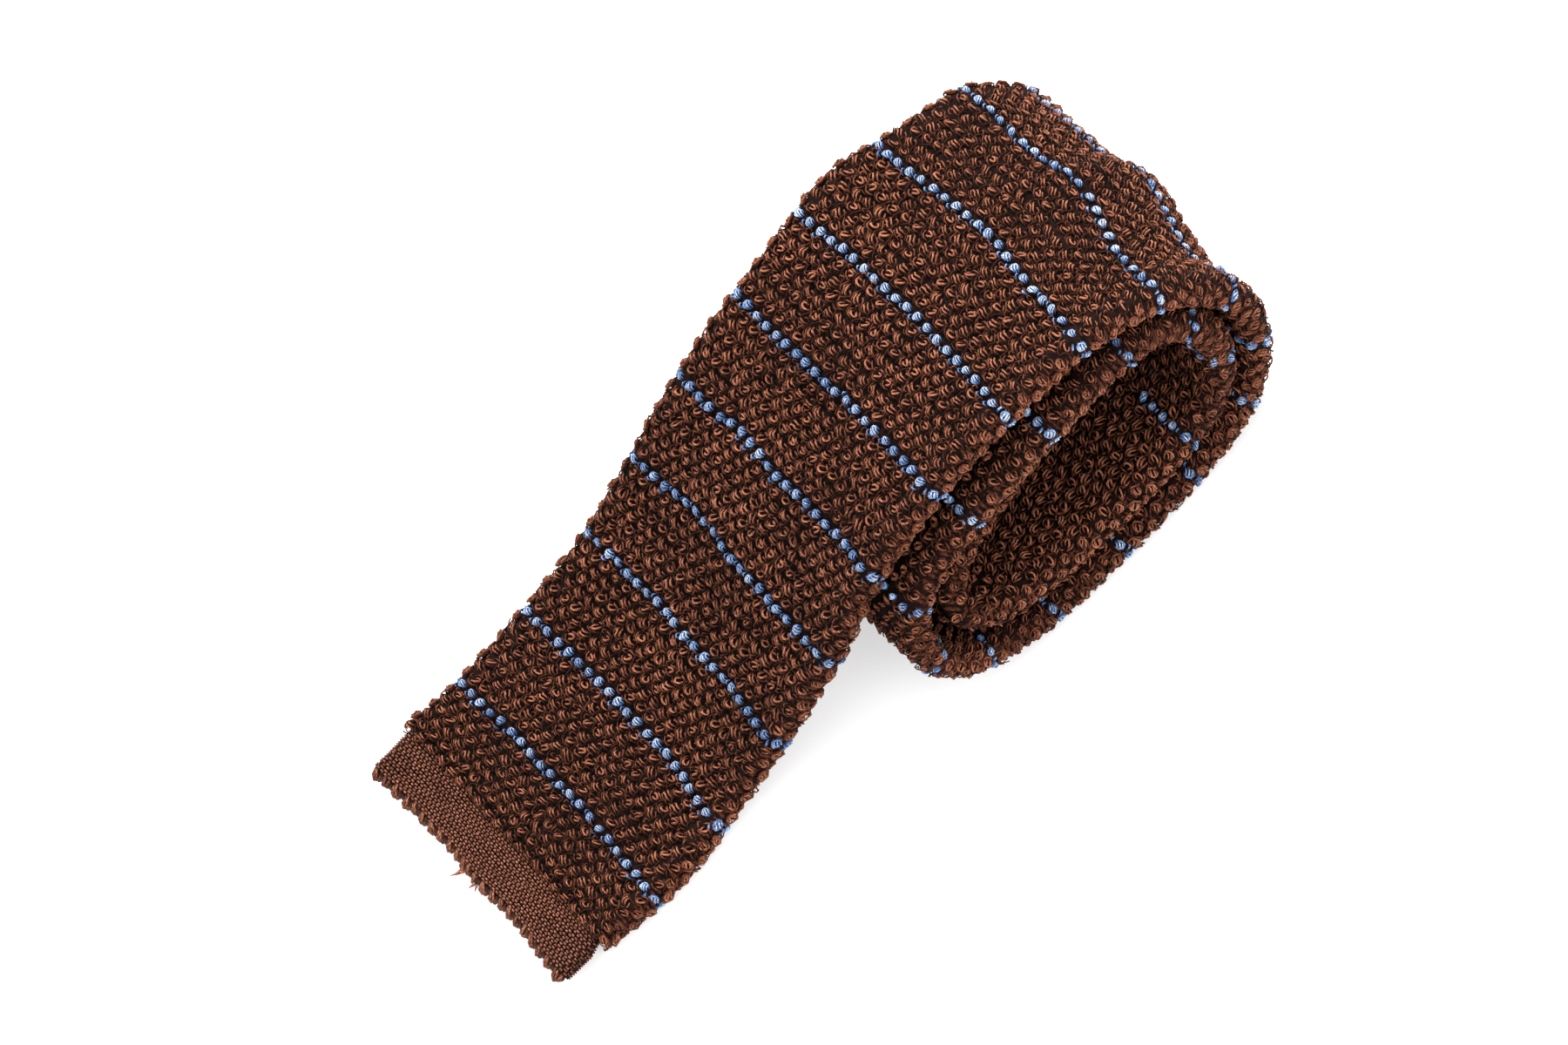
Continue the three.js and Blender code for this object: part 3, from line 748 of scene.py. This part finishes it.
LEVEL[(S > 246) & ~covered & ((Q < 32) | (FAR < 9))] = 2
LEVEL[(S > 240) & (S < 378) & ~covered & (Q < 29)] = 3
LEVEL[(S > 378) & (Q > 14) & (FAR > 9)] = 1
LEVEL[(FACE < 0) & (S < 110) & (Q < 12)] = 2
LEVEL[covered & (from_edge > 9.0)] = 0
LEVEL[(FAR < 5.5)] = 2
LEVEL[(FAR < 6.5) & (FACE > 0) & (S < 188)] = 3
LEVEL[Q < 6.5] = 3
LEVEL[(Q < 6.5) & (FACE < 0) & (S < 130) & (Q > 3.5)] = 2
KIND = np.where(EDGE, 2, (ROW - first_blue) % 2)
VARIANT = rng.integers(0, 3, len(S))
print("stitches", len(S), "levels", [int((LEVEL == k).sum()) for k in (0, 1, 2, 3)])

# Sizes, turns and tones of single stitches; the tones also carry painted light and shade.
COUNT = len(S)
TONE_AND_PAINTED_LIGHT = np.clip(0.5 + jitter(0.17) + 0.10 * wander(S, Q, 7, 31.0), 0.05, 1.0)
# painted light and shade along the knitting: lighter for s about 90 to 165 (the top of the roll), 258 to 304 and 336 to
# 380 (in the hollow), darker for s 40 to 88 (the rise) and 304 to 336
TONE_AND_PAINTED_LIGHT = np.clip(TONE_AND_PAINTED_LIGHT + np.interp(S, [40, 58, 72, 92, 106, 126, 142, 165, 258, 266, 284, 300, 318, 333, 342, 370, 380],
                                [0.0, -0.14, -0.08, 0.02, 0.26, 0.24, 0.12, 0.0, 0.0, 0.24, 0.24, 0.08, -0.26, -0.22, 0.50, 0.50, 0.05]), 0.05, 1.1)
# painted shade on the under face around the left curl (s 226 to 258)
TONE_AND_PAINTED_LIGHT[(FACE < 0) & (S > 226) & (S < 258) & (Q > 2.2)] -= 0.45
SPIN = np.clip(jitter(0.34), -0.8, 0.8) - np.where((FACE < 0) & ~EDGE, math.radians(32), 0.0)
TIP = np.clip(jitter(0.22), -0.45, 0.45) + np.where(ROW % 2 == 0, 0.10, -0.06)
ROW_SQUEEZE = np.clip(pitch_along / 1.95, 0.74, 1.10)
BIG = np.where((ROW - first_blue) % 2 == 1, 1.04, 1.0)
SIZE = np.stack([
    ROW_SQUEEZE * BIG * (1 + np.clip(jitter(0.08), -0.18, 0.18)),
    BIG * (1 + np.clip(jitter(0.07), -0.15, 0.15)),
    (1 + np.clip(jitter(0.10), -0.2, 0.2)),
], 1)
SIZE[EDGE] *= np.where(((ROW - first_blue) % 2 == 1)[:, None], np.array([1.22, 1.02, 1.10]), np.array([1.10, 1.00, 1.0]))[EDGE]
SIZE[EDGE & (S > 188)] *= 0.92
HIGH = np.clip(jitter(0.07), -0.15, 0.13) + np.where((ROW - first_blue) % 2 == 1, 0.05, -0.04)
HIGH[EDGE] += np.where((ROW - first_blue) % 2 == 1, 0.10, -0.04)[EDGE]
far_knobs = EDGE & (FAR < 5)
HIGH[far_knobs] += np.where((ROW - first_blue) % 2 == 1, 0.12, -0.12)[far_knobs]


def place(pile, shape, pick, size_scale=1.0, lift=0.0, extra_spin=0.0):
    pile.add(shape, P[pick] + (HIGH[pick] + lift)[:, None] * NORMAL[pick], ALONG[pick], CROSS[pick], NORMAL[pick],
             SIZE[pick] * size_scale, SPIN[pick] + extra_spin, TONE_AND_PAINTED_LIGHT[pick], TIP[pick])


# Brown stitches, in pieces of the knitting one after another.
cuts = [0, 30, 58, 86, 114, 144, 182, 238, 282, 332, 1000]
names = ["tail", "lift", "rise", "slope", "crest", "outer_turn", "base", "left_curl", "second_turn", "inner_turn"]
for name, lo, hi in zip(names, cuts[:-1], cuts[1:]):
    pile = Pile()
    here = (S >= lo) & (S < hi) & ~IS_BLUE
    for level in (3, 2, 1, 0):
        for kind in (0, 1, 2):
            for variant in (0, 1, 2):
                place(pile, brown_stitch(level, kind, variant), here & (LEVEL == level) & (KIND == kind) & (VARIANT == variant))
    # a fuller knob under every second stitch of the edges
    place(pile, bean(0.62, 0.44, 0.36, 0.0, 0.0, 0.20, 6, 3), here & EDGE & (S < 188) & ((ROW - first_blue) % 2 == 1), lift=-0.24)
    pile.build("brown_stitches_" + name, BROWN)

# Low strands that run round both edges under the edge stitches, one to a row.
brown_wrap = Pile()
for i, (s, blue) in enumerate(zip(rows, is_blue)):
    full = float(half_round(np.array(s)))
    for near in (True, False):
        for shift in (-0.42, 0.46):
            run = np.linspace(-3.3, 3.3, 7)
            q = np.clip(np.abs(run), 0.02, None)
            face = np.where(run > 0, 1, -1)
            q_line = q if near else full - q
            s_line = s + shift + 0.22 * np.sin(run * 0.8 + i) + 0.1 * rng.normal(0, 1)
            s_line = s_line + (bend(s_line, np.full(7, -30.0 if near else 30.0)))
            s_line = np.clip(s_line, 0.25, BLADE_LENGTH - 0.6)
            high = -0.36 - 0.55 * np.clip(np.abs(run) - 1.9, 0, None) + 0.05 * np.sin(run * 1.7 + 2 * i) + rng.normal(0, 0.03)
            pts = skin(s_line, q_line, face, high)
            verts, quads, uv = tube(pts, 0.36, 3, False)
            # painted shade: these low strands are coloured darker throughout
            brown_wrap.add_mesh(verts, quads, uv, float(np.clip(0.5 + rng.normal(0, 0.15), 0, 1)), 0.45)
brown_wrap.build("brown_edge_strands", BROWN)

pile = Pile()
flat_face = IS_BLUE & ~EDGE
place(pile, blue_stitch(2), flat_face & (LEVEL >= 2), size_scale=0.98, lift=0.06)
place(pile, blue_stitch(1), flat_face & (LEVEL < 2), lift=0.02)
place(pile, blue_stitch(2), IS_BLUE & EDGE, size_scale=np.array([1.12, 1.02, 1.0]), lift=0.08)
pile.build("blue_stitches", BLUE)

# =====================================================================
# The end band: fine chains of purl loops running across.
# =====================================================================
# the end band's inside, near-black as painted shade between its loops
hem_core = closed_loft("end_band_inside", np.linspace(-HEM_LENGTH - 0.85, 0.4, 8), HEM_THICKNESS, HEM_INSET, HEM_RISE, 0.55, PAINTED_SHADE_CORE, edge_shrink=0.04)
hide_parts("hem_band")
CHAINS = 9
BUMP_PITCH = 0.97
pile = Pile()
for face in (1, -1):
    for k in range(CHAINS):
        s_mid = -HEM_LENGTH - 0.32 + k * (HEM_LENGTH + 0.20) / (CHAINS - 1)
        full = float(half_round(np.array(s_mid), HEM_THICKNESS, HEM_INSET))
        bumps = int(round(full / BUMP_PITCH))
        t = np.linspace(0, bumps, bumps * 6 + 1)
        phase = 0.5 * (k % 2)
        q = np.clip((t - 0.10 * np.sin(4 * math.pi * (t + phase))) / bumps * full, 0.001, full - 0.001)
        s_line = s_mid + 0.27 * np.sin(2 * math.pi * (t + phase)) + 0.06 * np.sin(t * 0.31 + k) + 0.04 * np.sin(t * 1.7 + 2 * k)
        high = -0.06 - 0.24 * np.cos(4 * math.pi * (t + phase)) + 0.03 * np.sin(t * 0.9 + k)
        face_a = np.full(len(t), face)
        pts = skin(s_line, q, face_a, high, thickness=HEM_THICKNESS, inset=HEM_INSET, lift=HEM_RISE)
        verts, quads, uv = tube(pts, 0.185, 4, False)
        # painted shade: the chain is coloured darker where it dips between its bumps
        pile.add_mesh(verts, quads, uv, np.repeat(0.5 + 0.12 * np.sin(t * 2.3 + 5 * k), 4), np.repeat(0.57 - 0.43 * np.cos(4 * math.pi * (t + phase)), 4))
hem_knit = pile.build("end_band_chains", FINE)

# The cast-off row: one loose loop after another along the end.
pile = Pile()
edge_s = -HEM_LENGTH - JOIN_GAP - EDGE_DIAMETER / 2
half = 59.0 / 2 - HEM_INSET - 0.6
c = np.linspace(-half + 0.2, half - 0.2, 44)
pts = knit_point(edge_s + 0.25 + 0.10 * np.sin(c * 1.3), c, 0.10 * np.sin(c * 2.1), HEM_RISE)
verts, quads, uv = tube(pts, 0.72, 8, False)
# painted shade: the thick strand along the end is coloured dark
pile.add_mesh(verts, quads, uv, 0.35, 0.25)
c = -half + 0.9
while c < half - 0.5:
    grow = 1.0 + rng.normal(0, 0.13)
    tilt = rng.normal(0.15, 0.22)
    tone = float(np.clip(0.5 + rng.normal(0, 0.16), 0, 1))

    def edge_strand(points, radius, sides=5, closed=False):
        pts = np.array(points, float) * (grow, grow, 1.0) + rng.normal(0, 0.05, (len(points), 3))
        a, cc = pts[:, 0] * math.cos(tilt) - pts[:, 1] * math.sin(tilt), pts[:, 0] * math.sin(tilt) + pts[:, 1] * math.cos(tilt)
        verts, quads, uv = tube(knit_point(edge_s + 0.15 + a, c + cc, pts[:, 2], HEM_RISE), radius, sides, closed)
        # painted shade: the lower points of these strands are coloured darker
        pile.add_mesh(verts, quads, uv, tone, np.repeat(np.clip(0.50 + 0.50 * pts[:, 2], 0.2, 1), sides))

    # a loop round the end, and strands from it over both faces of the band
    edge_strand([(-0.55, 0.66, 0.15), (-0.98, 0.05, 0.20), (-0.60, -0.62, 0.15), (0.20, -0.70, 0.45), (0.66, 0.0, 0.60), (0.20, 0.72, 0.45)], 0.30, 5, True)
    edge_strand([(-0.40, 0.45, -0.40), (-0.80, -0.10, -0.45), (-0.30, -0.62, -0.40), (0.35, -0.45, -0.55), (0.40, 0.35, -0.55)], 0.34, 4, True)
    edge_strand([(-0.90, -0.30, -0.10), (-0.66, -0.20, 0.50), (0.00, 0.02, 0.86), (0.80, 0.30, 0.90), (1.50, 0.50, 0.70)], 0.20)
    edge_strand([(-0.86, 0.24, -0.20), (-0.50, 0.34, 0.44), (0.20, 0.55, 0.74), (0.95, 0.80, 0.74)], 0.19)
    edge_strand([(-0.70, 0.10, -0.50), (0.10, 0.10, -1.05), (0.95, -0.20, -1.20), (1.60, -0.30, -1.05)], 0.25, 4)
    c += 2.30 * grow + rng.normal(0.08, 0.10)
# loose ends standing out from the edge
for c0, c1, reach, r0 in ((1.5, 2.9, 2.5, 0.30), (1.8, 2.5, 2.1, 0.26), (1.2, 2.1, 1.6, 0.22), (-2.1, -1.6, 1.2, 0.26), (-2.7, -3.1, 0.9, 0.20)):
    k = np.linspace(0, 1, 6)
    pts = knit_point(edge_s - 0.55 - reach * k, c0 + (c1 - c0) * k ** 1.5, 0.25 + 0.3 * k - 0.5 * k ** 2, HEM_RISE)
    verts, quads, uv = tube(pts, r0 * (1.15 - k), 4, False)
    # painted light: the loose ends are coloured lighter
    pile.add_mesh(verts, quads, uv, 0.6, 0.8)
cast_off = pile.build("cast_off_loops", FINE)
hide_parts("cast_off_edge")

# =====================================================================
# Floor and light
# =====================================================================
floor_mesh = bpy.data.meshes.new("floor")
g = 3.0
floor_mesh.from_pydata([(-g, -g, 0), (g, -g, 0), (g, g, 0), (-g, g, 0)], [], [(0, 1, 2, 3)])
floor = bpy.data.objects.new("floor", floor_mesh)
bpy.context.scene.collection.objects.link(floor)
fm, fn, fl = material("pale_floor")
fo = fn.new("ShaderNodeOutputMaterial")
fb = fn.new("ShaderNodeBsdfPrincipled")
fb.inputs["Base Color"].default_value = (0.74, 0.74, 0.737, 1)
fb.inputs["Roughness"].default_value = 0.85
fb.inputs["Specular IOR Level"].default_value = 0.1
fb.inputs["Emission Color"].default_value = (1, 1, 1, 1)
fb.inputs["Emission Strength"].default_value = 0.57
fl.new(fb.outputs[0], fo.inputs[0])
floor_mesh.materials.append(fm)


def area_light(name, place_at, aim, size, power, colour):
    light = bpy.data.lights.new(name, "AREA")
    light.shape, light.size, light.energy, light.color = "DISK", size, power, colour
    o = bpy.data.objects.new(name, light)
    o.location = place_at
    direction = Vector(aim) - Vector(place_at)
    o.rotation_euler = direction.to_track_quat("-Z", "Y").to_euler()
    bpy.context.scene.collection.objects.link(o)
    return o


area_light("key", (0.62, 0.62, 1.20), (0, 0, 0.02), 0.50, 30.0, (1.0, 0.99, 0.975))
area_light("fill", (-0.9, -0.7, 1.2), (0, 0, 0.02), 1.2, 2.6, (0.98, 0.99, 1.0))
area_light("front", (0.45, -1.35, 0.80), (0.03, 0, 0.02), 0.8, 8.0, (1.0, 1.0, 1.0))
world = bpy.data.worlds.new("studio")
bpy.context.scene.world = world
world.use_nodes = True
world.node_tree.nodes["Background"].inputs[0].default_value = (1, 1, 1, 1)
world.node_tree.nodes["Background"].inputs[1].default_value = 0.95
view = bpy.context.scene.view_settings
view.view_transform = "Standard"
view.look = "None"
view.exposure = 0.0
view.gamma = 1.0
